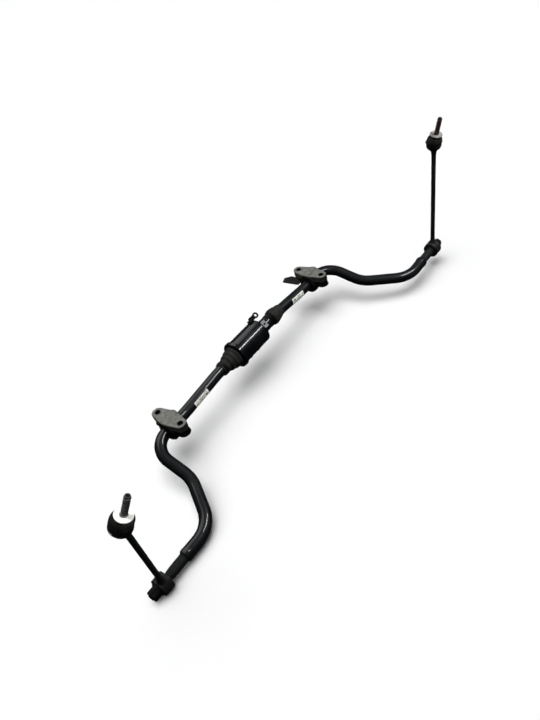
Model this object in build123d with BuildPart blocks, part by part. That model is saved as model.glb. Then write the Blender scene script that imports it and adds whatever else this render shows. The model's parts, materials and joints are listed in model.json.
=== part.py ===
from build123d import *
import math
import os

# Active anti-roll bar: two forged bar halves joined by a hydraulic vane motor, two frame
# brackets on rubber bushes, and two end links.
#
# +X runs along the bar from the left bracket to the right bracket, +Z is up from the
# brackets' seats, and the arms point towards -Y. The origin is midway between the left
# bracket's two bolt holes, on the plane of its feet.

os.makedirs("parts", exist_ok=True)

FIT = 0.05  # radial play of a running or slip fit
GAP = 0.3  # play between bodies that only pass each other

# bar
bar_r = 14.0
half_span = 288.0  # motor centre to each bracket's centre
axis_height = 4.0  # bush axis above the bracket's feet
motor_rise = 11.5  # motor axis above the bush axis
jog_start = 122.0  # where each half leaves the motor's axis
jog_end = 245.0  # where it meets the bush axis
corner_x = 360.0  # where each half turns into its arm
arm_drop = {-1: 20.5, 1: 12.5}  # slope of each arm below the horizontal, degrees
arm_knee = (360.0, 117.0, -3.0)  # x, distance along the arm, height above its plane
arm_elbow = {-1: (421.0, 218.0, 8.0), 1: (431.0, 222.0, 8.0)}
bend_radii = [300.0, 300.0, 50.0, 78.0, 70.0]
shoulder_x = {-1: 497.0, 1: 507.0}  # end of the full section
neck_r = 11.2
nose_r = 9.5
eye_x = {-1: 563.0, 1: 573.0}  # centre of the link's eye
pin_r = 7.0
pin_reach = 35.0  # from the eye's centre

# vane motor, along X from its own centre
housing_r = 32.5
chamber_r = 26.0
housing_left = -40.0
housing_right = 46.0
chamber_left = -28.0
chamber_right = 34.0
rim_r = 36.0
rim_left = -52.0
shaft_r = 12.0
hub_r = 15.0
left_bar_start = -88.0
right_bar_start = 84.0
vane_half_angle = 30.0
stator_half_angle = 33.0
seal_width = 3.0

# pressure ports in the motor's underside
port_places = (-8.0, 22.0)
port_r = 5.25
port_top = 41.0
port_floor = 31.0
boss_seat = 29.5
port_boss_r = 8.5
passage_r = 2.5

# brackets
hole_spacing = 75.0
bolt_hole_r = 5.5
bolt_sleeve_r = 7.0
bush_r = 25.0
bush_half = 21.5
split_z = axis_height + 12.0
boss_top = axis_height + 28.5
boss_r = 14.5
crown_r = 31.0
saddle_half = 23.0

# links
link_length = 300.0
rod_r = 5.75
eye_r = 20.5
eye_bore_r = 17.0
eye_half = 13.0
eye_sleeve_r = 10.0
ball_r = 11.0
stud_r = 6.0
stud_length = 43.0
flange_r = 16.5
flange_low = 24.0  # along the stud from the ball's centre
flange_high = 27.0
flange_seat_r = 6.6
thread_start = 28.5  # above a relief groove
rod_lean = {-1: (-3.0, -14.3), 1: (4.6, -2.0)}  # lean towards +X and +Y, degrees
stud_lean = {-1: (24.6, -19.9), 1: (0.0, -17.0)}

LEFT, RIGHT = -1, 1
SIDES = ((LEFT, "left"), (RIGHT, "right"))
X_AXIS = Vector(1, 0, 0)


def at(x, y, z):
    """Point measured from the bush axis below the motor's centre."""
    return Vector(x + half_span, y, z + axis_height)


def on_motor(x):
    """Point on the motor's axis."""
    return at(x, 0, motor_rise)


def on_arm(side, x, along, height):
    """Point on an arm, which slopes down towards -Y."""
    slope = math.radians(arm_drop[side])
    y = -along * math.cos(slope) - height * math.sin(slope)
    z = -along * math.sin(slope) + height * math.cos(slope)
    return at(side * x, y, z)


def leaning(lean):
    """Unit vector that leans from +Z by two angles, towards +X and +Y."""
    tangents = [math.tan(math.radians(angle)) for angle in lean]
    return Vector(tangents[0], tangents[1], 1).normalized()


def around_x(angle):
    """Unit vector across the bar, turned from +Z towards -Y by an angle."""
    turn = math.radians(angle)
    return Vector(0, -math.sin(turn), math.cos(turn))


def half_section(origin, direction):
    """Plane for a turned profile: its X is the radius, its Y runs along the axis."""
    across = Plane(origin=origin, z_dir=direction).x_dir
    return Plane(origin=origin, x_dir=across, z_dir=across.cross(direction))


def turned(origin, direction, outline):
    """Solid of revolution; the outline is (radius, distance along the axis) pairs."""
    with BuildPart() as body:
        with BuildSketch(half_section(origin, direction)):
            with BuildLine():
                Polyline(*outline, close=True)
            make_face()
        revolve(axis=Axis(origin, direction))
    return body.part


def tube(origin, direction, inner, outer, low, high):
    """Hollow cylinder, or a solid one where inner is zero."""
    return turned(origin, direction, [(inner, low), (outer, low), (outer, high), (inner, high)])


def save(builder, name):
    builder.part.label = name
    export_step(builder.part, f"parts/{name}.step")


# ---------------------------------------------------------------- bar halves
eye_centre = {}
bar_solid = {}
for side, name in SIDES:
    start_x = -left_bar_start if side == LEFT else right_bar_start
    arm_axis = X_AXIS * side
    route_points = [
        on_motor(side * start_x),
        on_motor(side * jog_start),
        at(side * jog_end, 0, 0),
        at(side * corner_x, 0, 0),
        on_arm(side, *arm_knee),
        on_arm(side, *arm_elbow[side]),
        on_arm(side, shoulder_x[side], *arm_elbow[side][1:]),
    ]
    eye_centre[side] = on_arm(side, eye_x[side], *arm_elbow[side][1:])
    inboard = shoulder_x[side] - eye_x[side]
    nose_end = -eye_half - 0.5
    arm_end = [
        (0, inboard),
        (bar_r, inboard),
        (neck_r, inboard + 6),
        (neck_r, nose_end - 12),
        (nose_r, nose_end),
        (pin_r, nose_end),
        (pin_r, pin_reach - 1),
        (pin_r - 1, pin_reach),
        (0, pin_reach),
    ]
    with BuildPart() as bar:
        with BuildLine() as route:
            FilletPolyline(*route_points, radius=bend_radii)
        with BuildSketch(Plane(origin=route.line @ 0, z_dir=route.line % 0)):
            Circle(bar_r)
        sweep(path=route.line)
        add(turned(eye_centre[side], arm_axis, arm_end))
    save(bar, f"{name}_bar")
    bar_solid[side] = bar.part

# ---------------------------------------------------------------- part labels
label_length = 48.0
label_half_angle = 30.0
label_thickness = 0.25
label_facing = 82.0  # turned from +Z towards -Y, degrees
for side, name, label_x in ((LEFT, "left", 195.0), (RIGHT, "right", 205.0)):
    rise = motor_rise * (jog_end - label_x) / (jog_end - jog_start)
    run = Vector(side * (jog_end - jog_start), 0, -motor_rise).normalized()
    facing = around_x(label_facing)
    label_plane = Plane(origin=at(side * label_x, 0, rise), x_dir=facing, z_dir=run)
    spread = math.tan(math.radians(label_half_angle)) * 2 * bar_r
    with BuildPart() as label:
        with BuildSketch(label_plane):
            Circle(bar_r + FIT / 2 + label_thickness)
            Circle(bar_r + FIT / 2, mode=Mode.SUBTRACT)
            with BuildLine():
                Polyline((0, 0), (2 * bar_r, spread), (2 * bar_r, -spread), close=True)
            make_face(mode=Mode.INTERSECT)
        extrude(amount=label_length / 2, both=True)
    save(label, f"{name}_label")

# ---------------------------------------------------------------- motor casing
motor = on_motor(0)
DOWN = Vector(0, 0, -1)
with BuildPart() as motor_housing:
    add(tube(motor, X_AXIS, chamber_r, housing_r, housing_left, housing_right))
    for place in port_places:
        passage = tube(on_motor(place), DOWN, 0, passage_r, chamber_r - 2, housing_r)
        add(passage, mode=Mode.SUBTRACT)
        boss_hole = tube(on_motor(place), DOWN, 0, port_boss_r, boss_seat, port_top)
        add(boss_hole, mode=Mode.SUBTRACT)
save(motor_housing, "motor_housing")

seal_seat = -43.0
cover_outline = [
    (hub_r, chamber_left),
    (chamber_r - FIT, chamber_left),
    (chamber_r - FIT, housing_left),
    (rim_r, housing_left),
    (rim_r, rim_left + 1.5),
    (rim_r - 1.5, rim_left),
    (17, rim_left),
    (17, seal_seat),
    (hub_r, seal_seat),
]
with BuildPart() as front_cover:
    add(turned(motor, X_AXIS, cover_outline))
save(front_cover, "motor_front_cover")

rear_outline = [
    (hub_r, chamber_right),
    (chamber_r - FIT, chamber_right),
    (chamber_r - FIT, housing_right),
    (housing_r, housing_right),
    (housing_r, 50),
    (20, 59),
    (18, 62),
    (17, right_bar_start),
    (0, right_bar_start),
    (0, 52),
    (hub_r, 52),
]
with BuildPart() as rear_cover:
    add(turned(motor, X_AXIS, rear_outline))
save(rear_cover, "motor_rear_cover")

with BuildPart() as front_bearing:
    add(tube(motor, X_AXIS, shaft_r + FIT, hub_r - 0.01, seal_seat, chamber_left))
save(front_bearing, "motor_front_bearing")

with BuildPart() as rear_bearing:
    add(tube(motor, X_AXIS, shaft_r + FIT, hub_r - 0.01, chamber_right, chamber_right + 16))
save(rear_bearing, "motor_rear_bearing")

with BuildPart() as shaft_seal:
    lip = [(shaft_r + FIT, -44.5), (shaft_r + 2, -43.1), (16.98, -43.1), (16.98, -50), (14, -50)]
    add(turned(motor, X_AXIS, lip))
save(shaft_seal, "motor_shaft_seal")

with BuildPart() as snap_ring:
    add(tube(motor, X_AXIS, 14.0, 16.98, rim_left + 0.2, -50.2))
    gap_plane = Plane(origin=on_motor(rim_left), z_dir=X_AXIS, x_dir=(0, 1, 0))
    with BuildSketch(gap_plane):
        with Locations((0, -15.5)):
            Rectangle(5, 5)
    extrude(amount=3, mode=Mode.SUBTRACT)
save(snap_ring, "motor_snap_ring")

# ---------------------------------------------------------------- vanes and shaft
shaft_outline = [
    (0, left_bar_start),
    (bar_r, left_bar_start),
    (bar_r, left_bar_start + 6),
    (shaft_r, left_bar_start + 10),
    (shaft_r, chamber_left + GAP),
    (hub_r, chamber_left + GAP),
    (hub_r, chamber_right - GAP),
    (shaft_r, chamber_right - GAP),
    (shaft_r, chamber_right + 15),
    (0, chamber_right + 15),
]
with BuildPart() as rotor_shaft:
    add(turned(motor, X_AXIS, shaft_outline))
save(rotor_shaft, "rotor_shaft")


def sector(inner, outer, middle_angle, half_angle, low, high):
    """Part of a ring in the chamber; the angle turns from +Y towards +Z."""
    plane = Plane(origin=on_motor(low), x_dir=(0, 1, 0), z_dir=X_AXIS)
    reach = 2 * outer
    turns = [math.radians(middle_angle + half_angle * step) for step in (-1, 0, 1)]
    corners = [(reach * math.cos(turn), reach * math.sin(turn)) for turn in turns]
    with BuildPart() as body:
        with BuildSketch(plane):
            Circle(outer)
            Circle(inner, mode=Mode.SUBTRACT)
            with BuildLine():
                Polyline((0, 0), *corners, close=True)
            make_face(mode=Mode.INTERSECT)
        extrude(amount=high - low)
    return body.part


seal_angle = math.degrees(seal_width / 2 / 20)
vane_low = chamber_left + GAP
vane_high = chamber_right - GAP
with BuildPart() as rotor_vane_seals:
    for middle in (90, 270):
        add(sector(21.5, chamber_r - FIT, middle, seal_angle, vane_low, vane_high))
save(rotor_vane_seals, "rotor_vane_seals")

with BuildPart() as rotor_vanes:
    for middle in (90, 270):
        add(sector(hub_r, chamber_r - GAP, middle, vane_half_angle, vane_low, vane_high))
    add(rotor_vane_seals.part, mode=Mode.SUBTRACT)
save(rotor_vanes, "rotor_vanes")

with BuildPart() as stator_vane_seals:
    for middle in (0, 180):
        add(sector(hub_r + FIT, 18, middle, seal_angle, chamber_left, chamber_right))
save(stator_vane_seals, "stator_vane_seals")

with BuildPart() as stator_vanes:
    for middle in (0, 180):
        add(sector(hub_r + GAP, chamber_r, middle, stator_half_angle, chamber_left, chamber_right))
    add(stator_vane_seals.part, mode=Mode.SUBTRACT)
save(stator_vanes, "stator_vanes")

# ---------------------------------------------------------------- motor outside
boot_outline = [
    (28.5, rim_left - GAP),
    (28.2, -58),
    (26, -62),
    (25.2, -70),
    (22.8, -74),
    (21.6, -82),
    (18.4, -87),
    (17.2, -92),
    (17, -107),
    (bar_r + FIT, -107),
    (bar_r + FIT, -91),
    (16, -86),
    (18.9, -81),
    (20.3, -73),
    (22.7, -69),
    (23.5, -61),
    (25.7, -57),
    (26, rim_left - GAP),
]
with BuildPart() as motor_boot:
    add(turned(motor, X_AXIS, boot_outline))
    add(bar_solid[LEFT], mode=Mode.SUBTRACT)
save(motor_boot, "motor_boot")

with BuildPart() as boot_clamp:
    add(tube(motor, X_AXIS, 17.2, 18.2, -103, -96))
    with Locations(on_motor(-99.5) + Vector(0, 0, -19.6)):
        Box(7, 8, 3)
save(boot_clamp, "motor_boot_clamp")

with BuildPart() as sleeve_ring:
    add(tube(motor, X_AXIS, bar_r + FIT, 18.5, right_bar_start + 0.2, 97))
save(sleeve_ring, "motor_sleeve_ring")

sleeve_outline = [
    (bar_r + FIT, 97.2),
    (18, 97.2),
    (20.6, 100),
    (21.6, 107),
    (20.9, 116),
    (18.8, 125),
    (16.6, 132),
    (15.8, 138),
    (bar_r + FIT, 138),
]
with BuildPart() as right_sleeve:
    add(turned(motor, X_AXIS, sleeve_outline))
    add(bar_solid[RIGHT], mode=Mode.SUBTRACT)
save(right_sleeve, "motor_sleeve")

block_up = around_x(41)
block_plane = Plane(origin=on_motor(54), x_dir=X_AXIS, z_dir=block_up)
with BuildPart() as port_block:
    with BuildSketch(block_plane.offset(17)):
        Rectangle(13, 20)
    extrude(amount=17)
    fillet(port_block.edges().filter_by(Axis(on_motor(0), block_up)), 2)
    add(rear_cover.part, mode=Mode.SUBTRACT)
    with BuildSketch(block_plane.offset(34)):
        Circle(3)
    extrude(amount=-8, mode=Mode.SUBTRACT)
save(port_block, "motor_port_block")

lug_up = around_x(-20)
lug_plane = Plane(origin=on_motor(40), x_dir=X_AXIS, z_dir=lug_up)
eyelet_up = around_x(35)
eyelet_height = 38.0
eyelet_reach = 24.0
eyelet_base = on_motor(40) + lug_up * eyelet_height
with BuildPart() as line_lug:
    with BuildSketch(lug_plane.offset(29.5)):
        Rectangle(11, 13)
    extrude(amount=8.5)
    add(motor_housing.part, mode=Mode.SUBTRACT)
    with BuildSketch(Plane(origin=eyelet_base, x_dir=X_AXIS, z_dir=eyelet_up)):
        with Locations((eyelet_reach / 2, 0)):
            Rectangle(eyelet_reach, 12)
        with Locations((eyelet_reach, 0)):
            Circle(8)
            Circle(3.6, mode=Mode.SUBTRACT)
    extrude(amount=1.5, both=True)
save(line_lug, "motor_line_lug")

with BuildPart() as port_bosses:
    for place in port_places:
        add(tube(on_motor(place), DOWN, 0, port_boss_r, boss_seat, port_top))
        thread = tube(on_motor(place), DOWN, 0, port_r, port_floor, port_top)
        add(thread, mode=Mode.SUBTRACT)
        passage = tube(on_motor(place), DOWN, 0, passage_r, boss_seat, port_top)
        add(passage, mode=Mode.SUBTRACT)
save(port_bosses, "motor_port_bosses")

# ---------------------------------------------------------------- brackets
for side, name in SIDES:
    centre = at(side * half_span, 0, 0)
    holes = [(0, -hole_spacing / 2), (0, hole_spacing / 2)]

    with BuildPart() as saddle:
        add(tube(centre, X_AXIS, 0, crown_r, -saddle_half, saddle_half))
        with BuildSketch(Plane(origin=(centre.X, 0, 0))):
            with Locations((0, -20), (0, 20)):
                Circle(17)
            Circle(saddle_half)
            make_hull()
        extrude(amount=60, mode=Mode.INTERSECT)

    with BuildPart() as cap:
        with BuildSketch(Plane(origin=(centre.X, 0, split_z))):
            with Locations(*holes):
                Circle(boss_r)
            Circle(saddle_half)
            make_hull()
        extrude(amount=boss_top - split_z)
        add(saddle.part)
        with BuildSketch(Plane(origin=(centre.X, 0, 0))):
            Rectangle(60, 200)
        extrude(amount=split_z, mode=Mode.SUBTRACT)
        add(tube(centre, X_AXIS, 0, bush_r, -40, 40), mode=Mode.SUBTRACT)
        with BuildSketch(Plane(origin=(centre.X, 0, 0))):
            with Locations(*holes):
                Circle(bolt_sleeve_r)
        extrude(amount=60, mode=Mode.SUBTRACT)
    save(cap, f"{name}_bracket_cap")

    with BuildPart() as base:
        with BuildSketch(Plane(origin=(centre.X, 0, 0))):
            with Locations(*holes):
                Circle(boss_r - 1)
            make_hull()
        extrude(amount=split_z)
        add(tube(centre, X_AXIS, 0, bush_r + 3, -17, 17))
        with BuildSketch(Plane(origin=(centre.X, 0, split_z))):
            Rectangle(60, 200)
        extrude(amount=60, mode=Mode.SUBTRACT)
        with BuildSketch(Plane(origin=(centre.X, 0, 0))):
            with Locations(*holes):
                Circle(boss_r + 1)
        extrude(amount=3)
        add(tube(centre, X_AXIS, 0, bush_r, -40, 40), mode=Mode.SUBTRACT)
        with BuildSketch(Plane(origin=(centre.X, 0, 0))):
            with Locations(*holes):
                Circle(bolt_sleeve_r)
        extrude(amount=60, mode=Mode.SUBTRACT)
    save(base, f"{name}_bracket_base")

    with BuildPart() as bush:
        add(tube(centre, X_AXIS, bar_r + FIT, bush_r, -bush_half, bush_half))
        with Locations(centre + Vector(0, (bar_r + bush_r) / 2, 0)):
            Box(60, bush_r, 0.6, mode=Mode.SUBTRACT)
    save(bush, f"{name}_bush")

    with BuildPart() as bolt_sleeves:
        with BuildSketch(Plane(origin=(centre.X, 0, 0))):
            with Locations(*holes):
                Circle(bolt_sleeve_r)
                Circle(bolt_hole_r, mode=Mode.SUBTRACT)
        extrude(amount=boss_top)
    save(bolt_sleeves, f"{name}_bolt_sleeves")

# guard plate on the right bracket's rear corner
plate_origin = at(half_span, 0, 0)
plate_corners = [(-13.6, 28), (-23, 27), (-25, 16), (-40, 16), (-45, 66), (-28, 72), (-13.6, 56)]
with BuildPart() as guard_plate:
    with BuildSketch(Plane(origin=(plate_origin.X, 0, 12))):
        with BuildLine():
            Polyline(*plate_corners, close=True)
        make_face()
    extrude(amount=3)
    with BuildSketch(Plane(origin=(plate_origin.X, 0, 3.5))):
        with Locations((-15.1, 34)):
            Rectangle(3, 12)
    extrude(amount=9)
save(guard_plate, "right_guard_plate")

# ---------------------------------------------------------------- end links
housing_step = 4.0  # the joint housing narrows here to hold its boot
housing_mouth = 10.0
housing_outer = 19.0
crimp_r = 16.0
race_r = 14.5
ball_neck_r = 5.0
socket_flats = 6.0
socket_depth = 7.0
boot_wall = 2.0
nut_flats = 22.0
nut_height = 16.5
for side, name in SIDES:
    arm_axis = X_AXIS * side
    eye = eye_centre[side]
    rod_axis = leaning(rod_lean[side])
    stud_axis = leaning(stud_lean[side])
    ball = eye + rod_axis * link_length

    housing_outline = [
        (0, -16.5),
        (9, -16),
        (13.5, -13.8),
        (17.2, -9.5),
        (housing_outer, -4.5),
        (housing_outer, housing_step),
        (crimp_r, housing_step),
        (crimp_r, housing_mouth),
        (race_r, housing_mouth),
        (race_r, -9.4),
        (11, -13),
        (0, -13),
    ]
    with BuildPart() as link:
        add(tube(eye, rod_axis, 0, rod_r, eye_bore_r + 1, link_length - 14))
        add(tube(eye, arm_axis, eye_bore_r, eye_r, -eye_half, eye_half))
        add(tube(eye, arm_axis, 0, eye_bore_r, -eye_half, eye_half), mode=Mode.SUBTRACT)
        add(turned(ball, rod_axis, housing_outline))
    save(link, f"{name}_link")

    with BuildPart() as eye_bush:
        bush_outline = [
            (eye_sleeve_r + FIT, -12.5),
            (15.5, -12.5),
            (eye_bore_r, -11),
            (eye_bore_r, 11),
            (15.5, 12.5),
            (eye_sleeve_r + FIT, 12.5),
        ]
        add(turned(eye, arm_axis, bush_outline))
    save(eye_bush, f"{name}_eye_bush")

    sleeve_end = eye_half + 0.5
    with BuildPart() as eye_sleeve:
        add(tube(eye, arm_axis, pin_r + 0.02, eye_sleeve_r, -sleeve_end, sleeve_end))
    save(eye_sleeve, f"{name}_eye_sleeve")

    washer_end = sleeve_end + 3
    with BuildPart() as eye_washer:
        add(tube(eye, arm_axis, pin_r + 0.02, 15, sleeve_end, washer_end))
    save(eye_washer, f"{name}_eye_washer")

    nut_face = eye + arm_axis * washer_end
    nut_plane = Plane(origin=nut_face, x_dir=(0, 1, 0), z_dir=arm_axis)
    nut_corner = nut_flats / 2 / math.cos(math.pi / 6)
    nut_form = [
        (0, -1),
        (nut_corner, -1),
        (nut_corner, nut_height - 1.5),
        (nut_corner - 2, nut_height),
        (0, nut_height),
    ]
    with BuildPart() as eye_nut:
        with BuildSketch(nut_plane):
            RegularPolygon(nut_flats / 2, 6, major_radius=False)
            Circle(pin_r + 0.02, mode=Mode.SUBTRACT)
        extrude(amount=nut_height)
        add(turned(nut_face, arm_axis, nut_form), mode=Mode.INTERSECT)
    save(eye_nut, f"{name}_eye_nut")

    race_outline = [
        (0, -12.9),
        (10.9, -12.9),
        (race_r - FIT, -9.3),
        (race_r - FIT, 6.5),
        (0, 6.5),
    ]
    with BuildPart() as race:
        add(turned(ball, rod_axis, race_outline))
        with Locations(ball):
            Sphere(ball_r + FIT, mode=Mode.SUBTRACT)
        add(tube(ball, rod_axis, 0, 9.85, 4, 7), mode=Mode.SUBTRACT)
    save(race, f"{name}_ball_race")

    with BuildPart() as retainer:
        add(tube(ball, rod_axis, 12.3, race_r, 6.8, housing_mouth - 0.2))
    save(retainer, f"{name}_ball_retainer")

    stud_end = flange_high + stud_length
    neck_start = math.sqrt(ball_r**2 - ball_neck_r**2)
    shank = [
        (ball_neck_r, neck_start),
        (ball_neck_r, 16),
        (7.5, flange_low),
        (flange_seat_r, flange_low),
        (flange_seat_r, flange_high),
        (stud_r - 0.6, flange_high),
        (stud_r - 0.6, thread_start),
        (stud_r, thread_start),
        (stud_r, stud_end - 1),
        (stud_r - 1, stud_end),
        (0, stud_end),
        (0, -ball_r),
    ]
    with BuildPart() as ball_stud:
        with BuildSketch(half_section(ball, stud_axis)):
            with BuildLine():
                ThreePointArc((0, -ball_r), (ball_r, 0), (ball_neck_r, neck_start))
                Polyline(*shank)
            make_face()
        revolve(axis=Axis(ball, stud_axis))
        with BuildSketch(Plane(origin=ball + stud_axis * stud_end, z_dir=stud_axis)):
            RegularPolygon(socket_flats / 2, 6, major_radius=False)
        extrude(amount=-socket_depth, mode=Mode.SUBTRACT)
    save(ball_stud, f"{name}_ball_stud")

    with BuildPart() as flange:
        add(tube(ball, stud_axis, flange_seat_r + 0.02, flange_r, flange_low, flange_high))
    save(flange, f"{name}_stud_flange")

    between = (rod_axis + stud_axis).normalized()
    rings = (
        (rod_axis, housing_step + 0.5, 19.5),
        (between, 12.5, 20.4),
        (stud_axis, flange_low - 0.5, 11.0),
    )
    with BuildPart() as link_boot:
        for direction, height, ring_r in rings:
            with BuildSketch(Plane(origin=ball + direction * height, z_dir=direction)):
                Circle(ring_r)
        loft()
        for direction, height, ring_r in rings:
            with BuildSketch(Plane(origin=ball + direction * height, z_dir=direction)):
                Circle(ring_r - boot_wall)
        loft(mode=Mode.SUBTRACT)
    save(link_boot, f"{name}_link_boot")

    with BuildPart() as boot_ring:
        add(tube(ball, rod_axis, 19.6, 20.8, 4.6, 5.8))
        add(link_boot.part, mode=Mode.SUBTRACT)
    save(boot_ring, f"{name}_boot_ring")
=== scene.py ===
"""Looks for the active anti-roll bar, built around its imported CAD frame. Metres, +Z up."""

import json
import math

import bmesh
import bpy
from mathutils import Matrix, Vector, noise


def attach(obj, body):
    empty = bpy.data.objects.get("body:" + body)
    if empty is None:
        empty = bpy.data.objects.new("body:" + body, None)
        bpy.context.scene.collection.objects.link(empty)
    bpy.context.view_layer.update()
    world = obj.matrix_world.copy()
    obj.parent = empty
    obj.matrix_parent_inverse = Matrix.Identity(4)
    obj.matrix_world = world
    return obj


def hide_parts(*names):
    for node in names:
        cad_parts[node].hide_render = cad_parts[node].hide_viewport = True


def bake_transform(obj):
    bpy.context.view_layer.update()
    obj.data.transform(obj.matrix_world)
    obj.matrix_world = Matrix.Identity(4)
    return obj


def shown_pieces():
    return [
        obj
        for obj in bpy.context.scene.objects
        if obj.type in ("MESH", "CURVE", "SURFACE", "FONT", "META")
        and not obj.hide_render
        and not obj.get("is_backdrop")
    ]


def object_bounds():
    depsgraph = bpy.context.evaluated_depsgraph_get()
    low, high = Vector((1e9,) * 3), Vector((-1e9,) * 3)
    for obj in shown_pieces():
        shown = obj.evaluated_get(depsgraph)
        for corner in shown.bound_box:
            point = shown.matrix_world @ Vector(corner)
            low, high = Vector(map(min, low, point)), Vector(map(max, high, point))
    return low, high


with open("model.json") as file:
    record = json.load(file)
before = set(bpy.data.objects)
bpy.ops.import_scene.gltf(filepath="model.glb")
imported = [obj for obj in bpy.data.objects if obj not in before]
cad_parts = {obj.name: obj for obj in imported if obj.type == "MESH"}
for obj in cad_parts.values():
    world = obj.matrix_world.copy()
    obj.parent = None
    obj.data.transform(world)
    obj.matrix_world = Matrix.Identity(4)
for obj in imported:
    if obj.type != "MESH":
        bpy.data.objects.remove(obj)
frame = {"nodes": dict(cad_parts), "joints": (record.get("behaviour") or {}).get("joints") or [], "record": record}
CAD_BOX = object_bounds()

MM = 0.001
TAU = 2 * math.pi
X_AXIS = Vector((1, 0, 0))
SIDES = ((-1, "left"), (1, "right"))
RECORD = frame["record"]
JOINTS = {joint["name"]: joint for joint in frame["joints"]}
MOUNTS = {mount["name"]: mount for mount in RECORD["mounts"]}
SLOTS = {part["node"]: part["material_slot"] for part in RECORD["subparts"]}
BODY_OF = {node: body for body, nodes in RECORD["behaviour"]["bodies"].items() for node in nodes}


# ------------------------------------------------------------------ materials
COAT_ROUGHNESS = 0.05


class Shader:
    """A node material: Principled BSDF driven by object-space noise."""

    def __init__(self, name, roughness=0.5, metallic=0.0, coat=0.0):
        self.material = bpy.data.materials.new(name)
        self.material.use_nodes = True
        self.tree = self.material.node_tree
        self.bsdf = self.tree.nodes["Principled BSDF"]
        self.bsdf.inputs["Roughness"].default_value = roughness
        self.bsdf.inputs["Metallic"].default_value = metallic
        self.bsdf.inputs["Coat Weight"].default_value = coat
        self.bsdf.inputs["Coat Roughness"].default_value = COAT_ROUGHNESS
        self.place = self.node("ShaderNodeTexCoord").outputs["Object"]
        self.normal = None

    def node(self, kind, **values):
        made = self.tree.nodes.new(kind)
        for key, value in values.items():
            setattr(made, key, value)
        return made

    def link(self, source, target):
        self.tree.links.new(source, target)

    def noise(self, size, detail=4.0, roughness=0.55, stretch=None):
        """Noise whose lumps are about size metres across."""
        texture = self.node("ShaderNodeTexNoise")
        texture.inputs["Scale"].default_value = 1 / size
        texture.inputs["Detail"].default_value = detail
        texture.inputs["Roughness"].default_value = roughness
        source = self.place
        if stretch:
            mapping = self.node("ShaderNodeMapping")
            mapping.inputs["Scale"].default_value = stretch
            self.link(source, mapping.inputs["Vector"])
            source = mapping.outputs["Vector"]
        self.link(source, texture.inputs["Vector"])
        return texture.outputs["Fac"]

    def ramp(self, source, low, high, start=0.0, end=1.0):
        """Maps a factor's low..high to start..end, clamped."""
        span = self.node("ShaderNodeMapRange")
        for key, value in (("From Min", low), ("From Max", high), ("To Min", start), ("To Max", end)):
            span.inputs[key].default_value = value
        self.link(source, span.inputs["Value"])
        return span.outputs["Result"]

    def mix(self, factor, first, second):
        """Mixes two colours; each is an RGB tuple or a socket."""
        blend = self.node("ShaderNodeMix", data_type="RGBA")
        self.link(factor, blend.inputs[0])
        for socket, colour in ((blend.inputs[6], first), (blend.inputs[7], second)):
            if isinstance(colour, tuple):
                socket.default_value = (*colour, 1.0)
            else:
                self.link(colour, socket)
        return blend.outputs[2]

    def colour(self, source):
        self.link(source, self.bsdf.inputs["Base Color"])

    def rough(self, source):
        self.link(source, self.bsdf.inputs["Roughness"])

    def bump(self, height, depth):
        """Adds a layer of relief; depth is its height in metres."""
        layer = self.node("ShaderNodeBump")
        layer.inputs["Strength"].default_value = 1.0
        layer.inputs["Distance"].default_value = depth
        self.link(height, layer.inputs["Height"])
        if self.normal is not None:
            self.link(self.normal, layer.inputs["Normal"])
        self.normal = layer.outputs["Normal"]
        self.link(self.normal, self.bsdf.inputs["Normal"])

    def combine(self, first, second, operation):
        maths = self.node("ShaderNodeMath", operation=operation)
        self.link(first, maths.inputs[0])
        if isinstance(second, (int, float)):
            maths.inputs[1].default_value = second
        else:
            self.link(second, maths.inputs[1])
        return maths.outputs[0]

    def specks(self, size, share):
        """Small random spots: 1 inside a spot, 0 elsewhere."""
        cells = self.node("ShaderNodeTexVoronoi")
        cells.inputs["Scale"].default_value = 1 / size
        self.link(self.place, cells.inputs["Vector"])
        return self.ramp(cells.outputs["Distance"], share, share * 0.6)


def painted(name, colour, worn, roughness, coat, lumps, chips):
    """Black coating on steel: soft mottling, orange peel, rubbed patches and chips."""
    shader = Shader(name, coat=coat)
    shader.bsdf.inputs["Specular IOR Level"].default_value = 0.3
    patches = shader.noise(0.045, detail=5)
    grime = shader.noise(0.006, detail=6, roughness=0.7)
    base = shader.mix(shader.ramp(patches, 0.45, 0.7), colour, tuple(c * 1.7 + 0.003 for c in colour))
    spots = shader.specks(0.007, chips)
    rubbed = shader.combine(spots, shader.ramp(grime, 0.5, 0.62), "MULTIPLY")
    shader.colour(shader.mix(rubbed, base, worn))
    wear = shader.combine(patches, grime, "MULTIPLY")
    shader.rough(shader.ramp(wear, 0.12, 0.4, roughness, roughness + 0.22))
    shader.bump(shader.noise(0.016, detail=2), lumps)
    shader.bump(shader.noise(0.0013, detail=3), 0.000012)
    shader.bump(grime, 0.00002)
    return shader.material


def cast_metal(name, light, dark, metallic, grain):
    """Sand-cast or shot-blasted surface with dirt in its low patches."""
    shader = Shader(name, metallic=metallic)
    grime = shader.noise(0.011, detail=8, roughness=0.68)
    fine = shader.noise(0.0011, detail=4, roughness=0.7)
    mottled = shader.mix(shader.ramp(grime, 0.36, 0.66), dark, light)
    pits = shader.specks(0.0022, 0.32)
    shader.colour(shader.mix(shader.combine(pits, 0.55, "MULTIPLY"), mottled, dark))
    shader.rough(shader.ramp(grime, 0.3, 0.7, 0.5, 0.78))
    shader.bump(grime, 0.0003)
    shader.bump(fine, grain)
    return shader.material


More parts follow.
